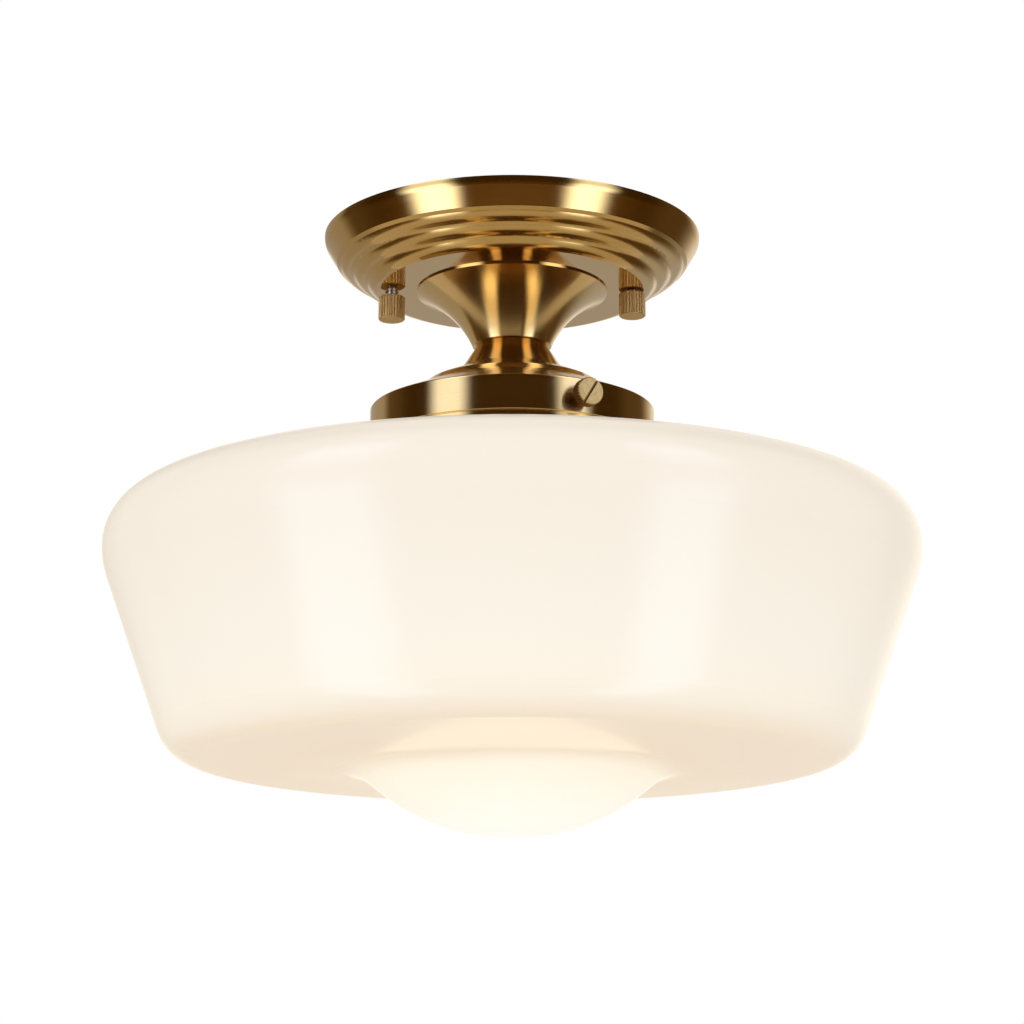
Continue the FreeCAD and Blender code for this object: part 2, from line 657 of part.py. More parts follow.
def trumpet_neck():
    """Spun brass trumpet between the canopy and the fitter, open above, with a floor for the tube."""
    wall, flare = size("trumpet_wall"), size("trumpet_flare")
    top_r, foot_r = size("trumpet_top_radius"), size("trumpet_foot_radius")
    hole = size("tube_radius") + size("thread_clearance")
    corners = [(top_r, CANOPY_FLAT), (top_r, CANOPY_FLAT - size("trumpet_edge"), None, flare)]
    corners += [(foot_r, TRUMPET_FOOT), (hole, TRUMPET_FOOT), (hole, TRUMPET_FOOT + wall)]
    corners.append((foot_r - wall * 0.6, TRUMPET_FOOT + wall, None, -flare - wall))
    corners.append((top_r - wall * 1.2, CANOPY_FLAT))
    return turned("trumpet_neck", corners)


def shade_fitter():
    """Spun brass fitter: conical neck, low dome and collar, with two pressed lugs and a threaded boss."""
    wall, hole = size("fitter_wall"), size("tube_radius") + size("thread_clearance")
    knee_r, knee_z = size("dome_knee_radius"), NECK_FOOT - size("dome_knee_drop")
    collar, groove = size("collar_radius"), size("bead_groove")
    bead = COLLAR_FOOT + size("bead_height")
    outer = [(hole, TRUMPET_FOOT), (size("fitter_neck_radius"), TRUMPET_FOOT, wall * 0.5)]
    step_r, step_z = knee_r + size("dome_step_width"), knee_z - size("dome_step_height")
    step_round = size("dome_step_round")
    outer += [(size("fitter_neck_foot"), NECK_FOOT, wall), (knee_r, knee_z, step_round)]
    outer.append((step_r, step_z, step_round))
    outer += [(collar, COLLAR_TOP, size("collar_edge_round")), (collar, bead + groove), (collar - groove, bead)]
    outer += [(collar, bead - groove), (collar, COLLAR_FOOT, wall * 0.4)]
    inside = COLLAR_INSIDE
    inner = [(inside, COLLAR_FOOT), (inside, COLLAR_TOP - wall * 0.7), (step_r - wall * 0.5, step_z - wall)]
    inner.append((knee_r - wall * 0.5, knee_z - wall))
    inner += [(size("fitter_neck_foot") - wall * 0.6, NECK_FOOT - wall)]
    inner += [(size("fitter_neck_radius") - wall, TRUMPET_FOOT - wall), (hole, TRUMPET_FOOT - wall)]
    shell = turned("fitter_shell", (outer + inner)[::-1])
    boss_start = inside - size("screw_boss_reach")
    azimuth = number(size("screw_azimuth"))
    pieces = [shell, radial_cylinder("screw_boss", size("screw_boss_radius"), boss_start, inside, azimuth)]
    for turn in LUG_TURNS:
        lug = radial_cylinder(f"lug_{turn:.0f}", size("lug_radius"), GRIP_RADIUS, inside, azimuth + turn)
        pieces.append(lug)
    solid = doc.addObject("Part::MultiFuse", "fitter_solid")
    solid.Shapes = pieces
    bore = size("screw_radius") + size("thread_clearance")
    drills = [radial_cylinder("screw_bore", bore, boss_start - wall, collar + wall, azimuth)]
    dimple_depth = size("lug_radius") * 0.4
    for turn in LUG_TURNS:
        start = collar - dimple_depth
        drills.append(radial_cylinder(f"dimple_{turn:.0f}", size("lug_radius"), start, collar + wall, azimuth + turn))
    drilling = doc.addObject("Part::MultiFuse", "fitter_drilling")
    drilling.Shapes = drills
    fitter = doc.addObject("Part::Cut", "shade_fitter")
    fitter.Base = solid
    fitter.Tool = drilling
    fitter.Label = "shade_fitter"
    return fitter


def radial_cylinder(name, radius, start, end, azimuth):
    """Cylinder lying along a radius of the light at the screw's height."""
    item = cylinder(name, radius, end - start + size("fitter_wall") * 0.5)
    across = (math.sin(math.radians(azimuth)), -math.cos(math.radians(azimuth)))
    move(item, (start * across[0], start * across[1], SCREW_AXIS), azimuth)
    return item


def thumb_screw():
    """Knurled, slotted brass screw whose tip bears on the glass neck."""
    shank, head = size("screw_radius"), size("screw_head_radius")
    head_start = size("collar_radius") + size("screw_stand_off")
    face = head_start + size("screw_head_height")
    chamfer = size("cap_nut_chamfer")
    corners = [(0, GRIP_RADIUS), (shank - chamfer, GRIP_RADIUS), (shank, GRIP_RADIUS + chamfer)]
    corners += [(shank, head_start), (head - chamfer, head_start), (head, head_start + chamfer)]
    corners += [(head, face - chamfer), (head - chamfer, face), (0, face)]
    body = turned("thumb_screw", corners)
    knurled_rim(body, head, head_start, face)
    slot_half, slot_floor = size("screw_slot_width") / 2, face - size("screw_slot_depth")
    reach = head + size("knurl_depth")
    slot = body.newObject("PartDesign::Pocket", "screw_slot")
    corners = [(slot_half, slot_floor), (slot_half, face + 1.0), (-slot_half, face + 1.0), (-slot_half, slot_floor)]
    slot.Profile = outline(body, "screw_slot_line", corners)
    slot.Midplane = True
    bind(slot, "Length", reach * 2)
    body.Tip = slot
    doc.recompute()
    azimuth = number(size("screw_azimuth"))
    move(body, (0, 0, SCREW_AXIS), azimuth)
    spin = FreeCAD.Rotation(FreeCAD.Vector(0, 0, 1), number(size("screw_slot_turn")))
    body.Placement.Rotation = body.Placement.Rotation * spin
    return body


def knurled_rim(body, radius, start, end):
    """Knurling on the head alone: a short groove, repeated around."""
    depth = size("knurl_depth")
    half_width = radius * (math.tan(math.pi / KNURL_COUNT) * 0.8)
    outside = radius + depth
    corners = [(radius - depth, 0), (outside, half_width * 1.9), (outside, -half_width * 1.9)]
    sketch = outline(body, "screw_vee", corners, "XY_Plane")
    bind(sketch, "AttachmentOffset.Base.z", start - depth)
    groove = body.newObject("PartDesign::Pocket", "screw_groove")
    groove.Profile = sketch
    groove.Reversed = True
    bind(groove, "Length", end - start + depth * 2)
    before = body.Shape.Volume
    doc.recompute()
    if not body.Shape.Volume < before:
        raise RuntimeError("screw groove cuts nothing")
    repeated_round(body, "screw_knurl", groove, KNURL_COUNT)


def shade_corners(inset):
    """Shade outline at an inset from its outer face, from the neck down to the axis."""
    shoulder_tan = tangent(size("shoulder_slope"))
    under_tan, bulge_tan = tangent(size("underside_slope")), tangent(size("bulge_slope"))
    shoulder_z = COLLAR_FOOT - size("shoulder_gap")
    base_r = size("shade_radius") - size("base_inset")
    base_z = size("base_rise") - size("total_height")
    neck, belly = SHADE_NECK - inset, size("shade_radius") - inset

    def shoulder(radius):
        drop = (radius - size("collar_radius")) * shoulder_tan
        return shoulder_z - inset / cosine(size("shoulder_slope")) - drop

    # The flank runs from just under both rounds of the belly to the lower corner.
    over_belly = size("shoulder_round") * tangent(45.0 - size("shoulder_slope") / 2)
    under_belly = size("belly_round") * 0.18
    belly_z = shoulder_z - (size("shade_radius") - size("collar_radius")) * shoulder_tan
    belly_z = belly_z - over_belly - size("belly_band") - under_belly
    flank_tan = size("base_inset") / (belly_z - base_z)
    flank_shift = inset * slant(flank_tan)
    # The belly round fits the straight wall left over it.
    belly_half = (slant(flank_tan) - 1) / flank_tan
    belly_round = smaller(size("belly_round"), (under_belly + size("belly_band")) / belly_half)
    under_shift, bulge_shift = inset / cosine(size("underside_slope")), inset / cosine(size("bulge_slope"))

    flank_z = base_z + (belly + flank_shift - base_r) / flank_tan
    base_in = (under_shift * flank_tan - flank_shift) / (1 - under_tan * flank_tan)
    foot_in = (bulge_shift - under_shift) / (bulge_tan - under_tan)
    foot_r = size("bulge_radius") - foot_in
    foot_z = base_z - (base_r - foot_r) * under_tan + under_shift
    bottom = inset - size("total_height")
    bulge_r = foot_r - (foot_z - bottom) / bulge_tan
    # The bulge and its foot round share the flank between them, whatever its length.
    flank_run, foot_share = (foot_z - bottom) / sine(size("bulge_slope")), size("bulge_foot_share")
    bulge_run = smaller(bulge_r - size("bulge_flat"), flank_run * (0.99 - foot_share))
    bulge_round = bulge_run / tangent(size("bulge_slope") / 2)
    foot_turn = size("bulge_slope") - size("underside_slope")
    foot_round = flank_run * foot_share / tangent(foot_turn / 2)
    return [
        (neck, shoulder(neck), size("shade_neck_round") + inset),
        (belly, shoulder(belly), size("shoulder_round") - inset),
        (belly, flank_z, belly_round - inset),
        (base_r + base_in, base_z + base_in * under_tan + under_shift, size("base_round") - inset),
        (foot_r, foot_z, foot_round),
        (bulge_r, bottom, bulge_round),
        (0, bottom),
    ]


def glass_shade():
    """Blown opal glass: neck with a lip, sloping shoulder, leaning flank and a rounded bulge below."""
    wall, lip, neck = size("shade_wall"), SHADE_LIP, SHADE_NECK
    edge = size("shade_lip_round")
    corners = [(neck - wall, LIP_TOP), (lip, LIP_TOP, edge), (lip, LIP_FOOT, edge), (neck, LIP_FOOT, edge)]
    corners += shade_corners(wall * 0.0) + shade_corners(wall)[::-1]
    return turned("glass_shade", corners[::-1])


def threaded_tube():
    """Threaded steel tube that clamps canopy, trumpet and fitter, and carries the leads."""
    body = turned("threaded_tube", tube_corners(size("tube_bore"), size("tube_radius"), TUBE_FOOT, TUBE_TOP))
    ringed(body, "tube", size("tube_radius"), CANOPY_FLOOR, TUBE_TOP)
    return body


def tube_fixings():
    """Washer and lock nut on the canopy floor, and the same under the fitter's neck."""
    bore = size("tube_radius") + size("thread_clearance")
    washer, nut = size("washer_thickness"), size("tube_nut_height")
    radius, flats = size("tube_washer_radius"), size("tube_nut_flats")
    under = TRUMPET_FOOT - size("fitter_wall")
    made = [turned("canopy_washer", tube_corners(bore, radius, CANOPY_FLOOR, CANOPY_FLOOR + washer))]
    made.append(hexagon("canopy_lock_nut", flats, bore, CANOPY_FLOOR + washer, CANOPY_FLOOR + washer + nut))
    made.append(turned("fitter_washer", tube_corners(bore, radius, under - washer, under)))
    made.append(hexagon("fitter_lock_nut", flats, bore, under - washer - nut, under - washer))
    return made


def holder_cap():
    """Plated cap of the lamp holder: its hub screws on the tube and is locked by a set screw."""
    wall, radius = size("holder_cap_wall"), size("holder_cap_radius")
    hub, bore = size("holder_hub_radius"), size("tube_radius") + size("thread_clearance")
    foot = HOLDER_CAP_TOP - size("holder_cap_height")
    corners = [(radius - wall, foot), (radius, foot), (radius, HOLDER_CAP_TOP, wall * 2)]
    corners += [(hub, HOLDER_CAP_TOP), (hub, HOLDER_CAP_TOP + size("holder_hub_height"))]
    corners += [(bore, HOLDER_CAP_TOP + size("holder_hub_height")), (bore, TUBE_FOOT), (radius - wall, TUBE_FOOT)]
    shell = turned("holder_cap_shell", corners)
    screw_z = HOLDER_CAP_TOP + size("holder_hub_height") / 2
    drill = cylinder("set_screw_drill", size("set_screw_radius") + size("thread_clearance"), hub * 2)
    move(drill, (0, 0, screw_z), 180.0)
    cap = doc.addObject("Part::Cut", "holder_cap")
    cap.Base = shell
    cap.Tool = drill
    cap.Label = "holder_cap"
    corners = [(0, bore), (size("set_screw_radius"), bore), (size("set_screw_radius"), hub), (0, hub)]
    screw = turned("holder_set_screw", corners)
    move(screw, (0, 0, screw_z), 180.0)
    return [cap, screw]


def holder_body():
    """Glazed porcelain body with a wiring space above its floor and the lamp cavity below."""
    radius = size("holder_cap_radius") - size("holder_cap_wall") - size("thread_clearance")
    bore = size("holder_body_bore")
    rim_radius, rim = size("holder_cap_radius"), size("holder_rim")
    wiring = bore - size("fitter_wall")
    corners = [(0, HOLDER_FLOOR_FOOT), (bore, HOLDER_FLOOR_FOOT), (bore, HOLDER_FOOT), (rim_radius, HOLDER_FOOT)]
    corners += [(rim_radius, HOLDER_FOOT + rim), (radius, HOLDER_FOOT + rim * 1.6), (radius, HOLDER_TOP)]
    corners += [(wiring, HOLDER_TOP), (wiring, HOLDER_FLOOR_TOP), (0, HOLDER_FLOOR_TOP)]
    return turned("holder_body", corners)


def wave(radius, top, count, pitch, depth):
    """Rolled thread outline from the top down: one crest and one root to each pitch."""
    corners = []
    for step in range(count):
        crest = top - pitch * (step + 0.25)
        corners.append((radius, crest))
        corners.append((radius - depth, crest - pitch * 0.5))
    return corners


def holder_shell():
    """Rolled brass screw shell that takes the lamp's cap, hung from the holder's floor."""
    wall, outer = size("shell_wall"), size("holder_body_bore") - size("part_clearance")
    pitch, depth = size("cap_thread_pitch"), size("cap_thread_depth") * 0.5
    foot = SHELL_TOP - size("shell_height")
    turns = int(number(size("shell_height")) / number(pitch)) - 1
    corners = [(size("insulator_radius"), SHELL_TOP - wall), (outer - wall, SHELL_TOP - wall)]
    corners += wave(outer - wall, SHELL_TOP - pitch * 0.5, turns, pitch, depth)
    corners += [(outer - wall, foot), (outer, foot)]
    corners += wave(outer, SHELL_TOP - pitch * 0.5, turns, pitch, depth)[::-1]
    corners += [(outer, SHELL_TOP), (size("insulator_radius"), SHELL_TOP)]
    return turned("holder_screw_shell", corners)


def holder_contact():
    """Sprung centre contact under the holder's floor."""
    radius = size("contact_radius") + size("shell_wall")
    foot = LAMP_TOP + size("part_clearance")
    corners = [(0, foot), (radius * 0.6, foot), (radius, SHELL_TOP), (0, SHELL_TOP)]
    return turned("holder_centre_contact", corners)


def terminal_screws():
    """Two terminal screws on the holder's floor, one for each lead."""
    radius, height = size("terminal_radius"), size("terminal_height")
    made = []
    for side, name in ((1.0, "hot"), (-1.0, "neutral")):
        corners = [(0, 0), (radius, 0), (radius, height * 0.7), (radius * 0.8, height), (0, height)]
        body = turned(f"terminal_screw_{name}", corners)
        move(body, (0, size("terminal_place") * side, HOLDER_FLOOR_TOP))
        made.append(body)
    return made


def lamp():
    """Screw lamp: rolled cap, black insulator, end contact and opal globe."""
    radius, wall = size("lamp_cap_radius"), size("lamp_cap_wall")
    pitch, depth = size("cap_thread_pitch"), size("cap_thread_depth")
    turns = int(number(size("lamp_cap_height")) / number(pitch)) - 1
    rolled = wave(radius, LAMP_CAP_TOP, turns, pitch, depth)
    inner = radius - depth - wall
    cap_corners = [(inner, LAMP_CAP_TOP - wall)] + [(0, LAMP_CAP_TOP - wall), (0, LAMP_CAP_TOP)]
    cap_corners += [(size("insulator_radius"), LAMP_CAP_TOP)] + rolled
    cap_corners += [(radius, LAMP_CAP_FOOT + pitch * 0.5), (radius, LAMP_CAP_FOOT), (inner, LAMP_CAP_FOOT)]
    cap = turned("lamp_cap", cap_corners)
    tip = size("contact_radius") + size("shell_wall")
    corners = [(0, LAMP_CAP_TOP), (size("insulator_radius"), LAMP_CAP_TOP), (tip, INSULATOR_TOP), (0, INSULATOR_TOP)]
    insulator = turned("lamp_insulator", corners)
    radius = size("contact_radius")
    corners = [(0, INSULATOR_TOP), (radius, INSULATOR_TOP), (radius * 0.7, LAMP_TOP), (0, LAMP_TOP)]
    contact = turned("lamp_end_contact", corners)
    globe = turned("lamp_globe", globe_corners(size("globe_wall") * 0.0) + globe_corners(size("globe_wall"))[::-1])
    return [cap, insulator, contact, globe]


def globe_corners(inset):
    """Pear outline of the globe at an inset from its outer face."""
    neck = size("lamp_cap_radius") - size("cap_thread_depth") - size("lamp_cap_wall") - size("thread_clearance")
    neck, full = neck - inset, size("globe_radius") - inset
    top = LAMP_CAP_FOOT + size("cap_thread_pitch")
    flare = LAMP_CAP_FOOT - size("part_clearance") * 2.0 - inset * 0.26
    widest = LAMP_FOOT + size("globe_radius") * 1.55 - inset * 0.26
    return [
        (neck, top),
        (neck, flare),
        (full, widest, size("globe_radius") * 1.3),
        (full, LAMP_FOOT + inset, size("globe_radius") * 0.985 - inset),
        (0, LAMP_FOOT + inset),
    ]


def lead_route(points):
    """Wire of straight runs joined by tangent arcs as large as the runs and the tube's mouth allow."""
    largest = number(size("lead_bend"))
    edges = []
    start = points[0]
    for index in range(1, len(points) - 1):
        before, here, after = points[index - 1 : index + 2]
        into, out = (here - before), (after - here)
        turn = into.getAngle(out)
        radius = min(0.49 * min(into.Length, out.Length) / math.tan(turn / 2), largest)
        reach = radius * math.tan(turn / 2)
        entry, leave = here - into.normalize() * reach, here + out.normalize() * reach
        middle_way = ((entry - here) + (leave - here)).normalize()
        middle = here + middle_way * (radius / math.cos(turn / 2) - radius)
        edges.append(Part.LineSegment(start, entry).toShape())
        edges.append(Part.Arc(entry, middle, leave).toShape())
        print(f"lead bend radius {radius:.1f} mm")
        start = leave
    edges.append(Part.LineSegment(start, points[-1]).toShape())
    return Part.Wire(edges)


def lead(label, points):
    """One insulated lead, swept along its route."""
    route = lead_route(points)
    radius = number(size("lead_radius"))
    direction = (points[1] - points[0]).normalize()
    section = Part.Wire(Part.Circle(points[0], direction, radius).toShape())
    item = doc.addObject("Part::Feature", label)
    item.Shape = route.makePipeShell([section], True, True)
    expected = math.pi * radius * radius * route.Length
    if abs(item.Shape.Volume / expected - 1) > 0.02:
        raise RuntimeError(f"{label} has volume {item.Shape.Volume:.1f}, not {expected:.1f}")
    print(f"{label} length {route.Length:.1f} mm")
    return item


def connector_point(azimuth, along):
    """Point on a connector's axis, a distance from its mouth towards its tip."""
    distance = number(size("connector_place")) + along
    angle = math.radians(azimuth)
    return FreeCAD.Vector(distance * math.sin(angle), -distance * math.cos(angle), -number(size("connector_drop")))


def lamp_lead(label, side, azimuth):
    """Lead from a terminal, up through the tube and over to its connector in the canopy."""
    offset, out = number(size("lead_offset")) * side, number(size("terminal_place")) * side
    terminal = number(HOLDER_FLOOR_TOP + size("terminal_height") + size("thread_clearance"))
    turn_up = number(TUBE_FOOT) - number(size("lead_radius")) * 2.0
    turn_over = number(TUBE_TOP) + number(size("lead_radius")) * 7.0
    points = [FreeCAD.Vector(0, out, terminal), FreeCAD.Vector(0, out, turn_up - 0.6)]
    points += [FreeCAD.Vector(0, offset, turn_up), FreeCAD.Vector(0, offset, turn_over)]
    points.append(connector_point(azimuth, number(size("lead_bend")) * -0.6))
    points.append(connector_point(azimuth, number(size("connector_depth")) - number(size("part_clearance"))))
    return lead(label, points)


def ground_lead(azimuth):
    """Ground lead hooked around its screw under the head, and down to its connector."""
    x, hook = number(size("ground_screw_place")), number(size("stud_radius") + size("lead_radius") * 1.06)
    level = -number(size("bracket_thickness") + size("lead_radius") + size("thread_clearance"))
    points = [FreeCAD.Vector(x - 1.0, hook, level), FreeCAD.Vector(x + hook, hook, level)]
    points += [FreeCAD.Vector(x + hook, -hook, level), FreeCAD.Vector(x * 0.56, -hook, level)]
    points.append(connector_point(azimuth, number(size("connector_place")) * -0.42))
    points.append(connector_point(azimuth, number(size("connector_depth")) - number(size("part_clearance"))))
    return lead("lead_ground", points)


def wire_connector(name, azimuth):
    """Ribbed twist-on connector closed at its tip."""
    mouth, tip, length = size("connector_radius"), size("connector_tip_radius"), size("connector_length")
    bore = size("lead_radius") + size("part_clearance")
    corners = [(bore, 0), (mouth, 0), (mouth, length * 0.25), (tip, length, tip * 0.4), (0, length)]
    corners += [(0, size("connector_depth")), (bore, size("connector_depth"))]
    body = turned(f"wire_connector_{name}", corners)
    rib_groove = size("knurl_depth") * 1.2
    vee = [(mouth - rib_groove, 0), (mouth + rib_groove, rib_groove * 1.6), (mouth + rib_groove, -rib_groove * 1.6)]
    groove = cut_through(body, f"{name}_rib_groove", outline(body, f"{name}_rib_vee", vee, "XY_Plane"))
    repeated_round(body, f"{name}_ribs", groove, CONNECTOR_RIBS)
    across = (math.sin(math.radians(azimuth)), -math.cos(math.radians(azimuth)))
    place = size("connector_place")
    move(body, (place * across[0], place * across[1], -size("connector_drop")), azimuth)
    return body


HOT_AZIMUTH, NEUTRAL_AZIMUTH, GROUND_AZIMUTH = 135.0, 315.0, 45.0

pieces = [mounting_bracket(), ground_screw(), canopy(), trumpet_neck(), shade_fitter(), thumb_screw()]
pieces += canopy_studs() + [threaded_tube()] + tube_fixings() + [glass_shade()]
pieces += holder_cap() + [holder_body(), holder_shell(), holder_contact()] + terminal_screws() + lamp()
for lead_name, lead_side, lead_azimuth in (("hot", 1.0, HOT_AZIMUTH), ("neutral", -1.0, NEUTRAL_AZIMUTH)):
    pieces.append(lamp_lead(f"lead_{lead_name}", lead_side, lead_azimuth))
    pieces.append(wire_connector(lead_name, lead_azimuth))
pieces += [ground_lead(GROUND_AZIMUTH), wire_connector("ground", GROUND_AZIMUTH)]
doc.recompute()

for item in doc.Objects:
    if "Invalid" in item.State or "Error" in item.State:
        raise RuntimeError(f"{item.Name} failed: {item.State}")
os.makedirs("parts", exist_ok=True)
for piece in pieces:
    if piece.Shape.isNull() or not piece.Shape.isValid():
        raise RuntimeError(f"{piece.Label} has no valid shape")
    piece.Shape.exportStep(f"parts/{piece.Label}.step")
    box = piece.Shape.BoundBox
    print(f"{piece.Label}: {len(piece.Shape.Solids)} solid, {piece.Shape.Volume:.0f} mm3, z {box.ZMin:.1f} to {box.ZMax:.1f}")
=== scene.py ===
import math

import bpy
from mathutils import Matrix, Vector


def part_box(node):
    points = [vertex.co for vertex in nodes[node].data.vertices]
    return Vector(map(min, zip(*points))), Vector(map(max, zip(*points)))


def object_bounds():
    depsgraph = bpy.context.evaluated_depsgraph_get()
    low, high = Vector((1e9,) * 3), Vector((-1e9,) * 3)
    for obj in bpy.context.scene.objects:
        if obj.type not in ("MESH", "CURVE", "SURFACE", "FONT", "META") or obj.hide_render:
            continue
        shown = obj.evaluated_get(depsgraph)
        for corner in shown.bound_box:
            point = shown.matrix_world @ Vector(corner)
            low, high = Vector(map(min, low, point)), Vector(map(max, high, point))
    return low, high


# Semi flush ceiling light, hung by its canopy: the origin is on the ceiling, +Z is up and the camera looks
# from the front, -Y. Every place and size is in metres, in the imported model's own frame.

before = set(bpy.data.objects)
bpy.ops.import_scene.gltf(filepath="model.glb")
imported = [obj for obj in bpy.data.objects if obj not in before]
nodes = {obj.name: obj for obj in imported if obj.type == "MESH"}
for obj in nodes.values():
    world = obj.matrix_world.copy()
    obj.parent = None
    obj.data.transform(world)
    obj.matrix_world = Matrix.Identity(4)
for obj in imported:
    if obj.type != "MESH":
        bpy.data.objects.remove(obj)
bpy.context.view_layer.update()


# Mounting bracket, with the studs and the nuts that lock them, and the threaded tube with its washers and
# nuts. They are stamped or turned from mild steel and zinc plated, which leaves a soft grey spangle with a
# faint yellow cast. The bracket is screwed to the ceiling box, and the tube hangs the light from the canopy.
ZINC = (0.58, 0.59, 0.60)
ZINC_BRIGHT = (0.70, 0.71, 0.72)
ZINC_CAST = (0.56, 0.54, 0.45)
SPANGLES_PER_METRE = 420.0


class Value:
    """One socket of a shader: arithmetic on it adds Math nodes."""

    def __init__(self, socket):
        self.socket = socket

    def maths(self, operation, *inputs):
        tree = self.socket.id_data
        item = tree.nodes.new("ShaderNodeMath")
        item.operation = operation
        for slot, given in zip(item.inputs, inputs):
            if isinstance(given, Value):
                tree.links.new(given.socket, slot)
            else:
                slot.default_value = given
        return Value(item.outputs[0])

    def __add__(self, other):
        return self.maths("ADD", self, other)

    def __radd__(self, other):
        return self.maths("ADD", other, self)

    def __sub__(self, other):
        return self.maths("SUBTRACT", self, other)

    def __rsub__(self, other):
        return self.maths("SUBTRACT", other, self)

    def __mul__(self, other):
        return self.maths("MULTIPLY", self, other)

    def __truediv__(self, other):
        return self.maths("DIVIDE", self, other)


class Finish:
    """The shader nodes of one finish."""

    def __init__(self, owner):
        owner.use_nodes = True
        self.owner = owner
        self.tree = owner.node_tree
        self.tree.nodes.clear()

    def node(self, kind, settings=None, sockets=None, output=0):
        """Adds a node: its settings first, then the values or links of its sockets."""
        item = self.tree.nodes.new(kind)
        for name, setting in (settings or {}).items():
            if name != "stops":
                setattr(item, name, setting)
                continue
            ramp = item.color_ramp
            while len(ramp.elements) < len(setting):
                ramp.elements.new(0.5)
            for element, (place, colour) in zip(ramp.elements, setting):
                element.position = place
                element.color = (*colour, 1.0)
        for name, given in (sockets or {}).items():
            slot = item.inputs[name]
            if isinstance(given, Value):
                self.tree.links.new(given.socket, slot)
            elif slot.type == "RGBA" and len(given) == 3:
                slot.default_value = (*given, 1.0)
            else:
                slot.default_value = given
        return Value(item.outputs[output]) if item.outputs else None

    def here(self):
        return self.node("ShaderNodeTexCoord", output="Object")

    def vector(self, operation, first, second=(0.0, 0.0, 0.0), output=0):
        return self.node("ShaderNodeVectorMath", {"operation": operation}, {0: first, 1: second}, output)

    def mix(self, share, first, second):
        return self.node("ShaderNodeMix", {"data_type": "RGBA"}, {0: share, 6: first, 7: second}, 2)

    def noise(self, where, scale, detail=2.0, roughness=0.5):
        sockets = {"Vector": where, "Scale": scale, "Detail": detail, "Roughness": roughness}
        return self.node("ShaderNodeTexNoise", None, sockets)

    def rise(self, value, start, end):
        """Smooth rise from 0 at start to 1 at end."""
        sockets = {"Value": value, "From Min": start, "From Max": end}
        return self.node("ShaderNodeMapRange", {"interpolation_type": "SMOOTHSTEP"}, sockets)

    def bump(self, height, strength, depth):
        return self.node("ShaderNodeBump", None, {"Strength": strength, "Distance": depth, "Height": height})

    def surface(self, sockets):
        shader = self.node("ShaderNodeBsdfPrincipled", None, sockets)
        self.node("ShaderNodeOutputMaterial", None, {"Surface": shader})
        return self.owner


def new_finish(name):
    return Finish(bpy.data.materials.new(name))


def paint(material, *names):
    """Gives a finish to whole CAD nodes."""
    for name in names:
        for slot in nodes[name].material_slots:
            slot.material = material


def zinc_plate():
    finish = new_finish("zinc_plate")
    where = finish.here()
    cells = {"Vector": where, "Scale": SPANGLES_PER_METRE}
    spangle = finish.node("ShaderNodeTexVoronoi", None, cells, "Color")
    tone = finish.vector("DOT_PRODUCT", spangle, (0.4, 0.3, 0.3), "Value")
    cast = finish.rise(finish.noise(where, 60.0, 3.0), 0.40, 0.68)
    scuffs = finish.noise(where, 900.0, 4.0, 0.7)
    return finish.surface({
        "Base Color": finish.mix(cast, finish.mix(tone, ZINC, ZINC_BRIGHT), ZINC_CAST),
        "Metallic": 1.0,
        "Roughness": 0.26 + tone * 0.16 + scuffs * 0.12,
        "Normal": finish.bump(scuffs, 0.2, 0.00005),
    })


STEEL = zinc_plate()
paint(STEEL, "mounting_bracket", "threaded_tube")
paint(STEEL, "canopy_washer", "canopy_lock_nut", "fitter_washer", "fitter_lock_nut")
for side in ("left", "right"):
    paint(STEEL, f"canopy_stud_{side}", f"stud_lock_nut_{side}")


# Ground screw in the bracket: a steel screw lacquered green, so that it is used for the ground lead alone.
# The lacquer is thin and shows the steel at the worn edges of its head.
GROUND_GREEN = (0.03, 0.26, 0.09)
GROUND_GREEN_WORN = (0.20, 0.34, 0.22)


def green_lacquer():
    finish = new_finish("green_lacquer")
    where = finish.here()
    worn = finish.rise(finish.noise(where, 700.0, 4.0, 0.6), 0.52, 0.70)
    return finish.surface({
        "Base Color": finish.mix(worn, GROUND_GREEN, GROUND_GREEN_WORN),
        "Metallic": 0.55,
        "Roughness": 0.30 + worn * 0.2,
        "Normal": finish.bump(finish.noise(where, 1500.0, 3.0), 0.15, 0.00004),
        "Coat Weight": 0.4,
        "Coat Roughness": 0.12,
    })


paint(green_lacquer(), "ground_screw")


# Canopy: a pan spun from brass sheet over a former, with a smooth band, three rolled ribs and a mirror flat.
# It is brushed round and round on the lathe and lacquered, and the flat is buffed to a mirror. Two studs
# pass through it, and their nuts hold it up. Its tones are a darker copy of the brass on the neck and
# fitter:
# painted shade, for what is the same brass.
SHADED_BRASS_TONES = ((0.57, 0.345, 0.095), (0.69, 0.455, 0.16))
PALE_TONES = ((0.66, 0.43, 0.15), (0.77, 0.55, 0.24))
BRUSH_LINES_PER_METRE = 2100.0
MIRROR_DEPTH = 0.0004


def turning(finish, centre=(0.0, 0.0, 0.0), axis=(0.0, 0.0, 1.0)):
    """Radius from a lathe axis, length along it, and a slow drift that runs round it with no seam."""
    spot = finish.vector("SUBTRACT", finish.here(), centre)
    along = finish.vector("DOT_PRODUCT", spot, axis, "Value")
    level = finish.node("ShaderNodeVectorMath", {"operation": "SCALE"}, {0: axis, "Scale": along})
    spoke = finish.vector("SUBTRACT", spot, level)
    radius = finish.vector("LENGTH", spoke, output="Value")
    drift = finish.vector("DOT_PRODUCT", finish.vector("NORMALIZE", spoke), (1.3, 0.7, 0.9), "Value")
    return radius, along, drift


def brush_lines(finish, radius, along, drift, lines_per_metre):
    """Fine lines that follow a lathe's turning."""
    sockets = {0: radius * lines_per_metre, 1: along * lines_per_metre, 2: drift}
    where = finish.node("ShaderNodeCombineXYZ", None, sockets)
    return finish.noise(where, 1.0, 3.0, 0.6)


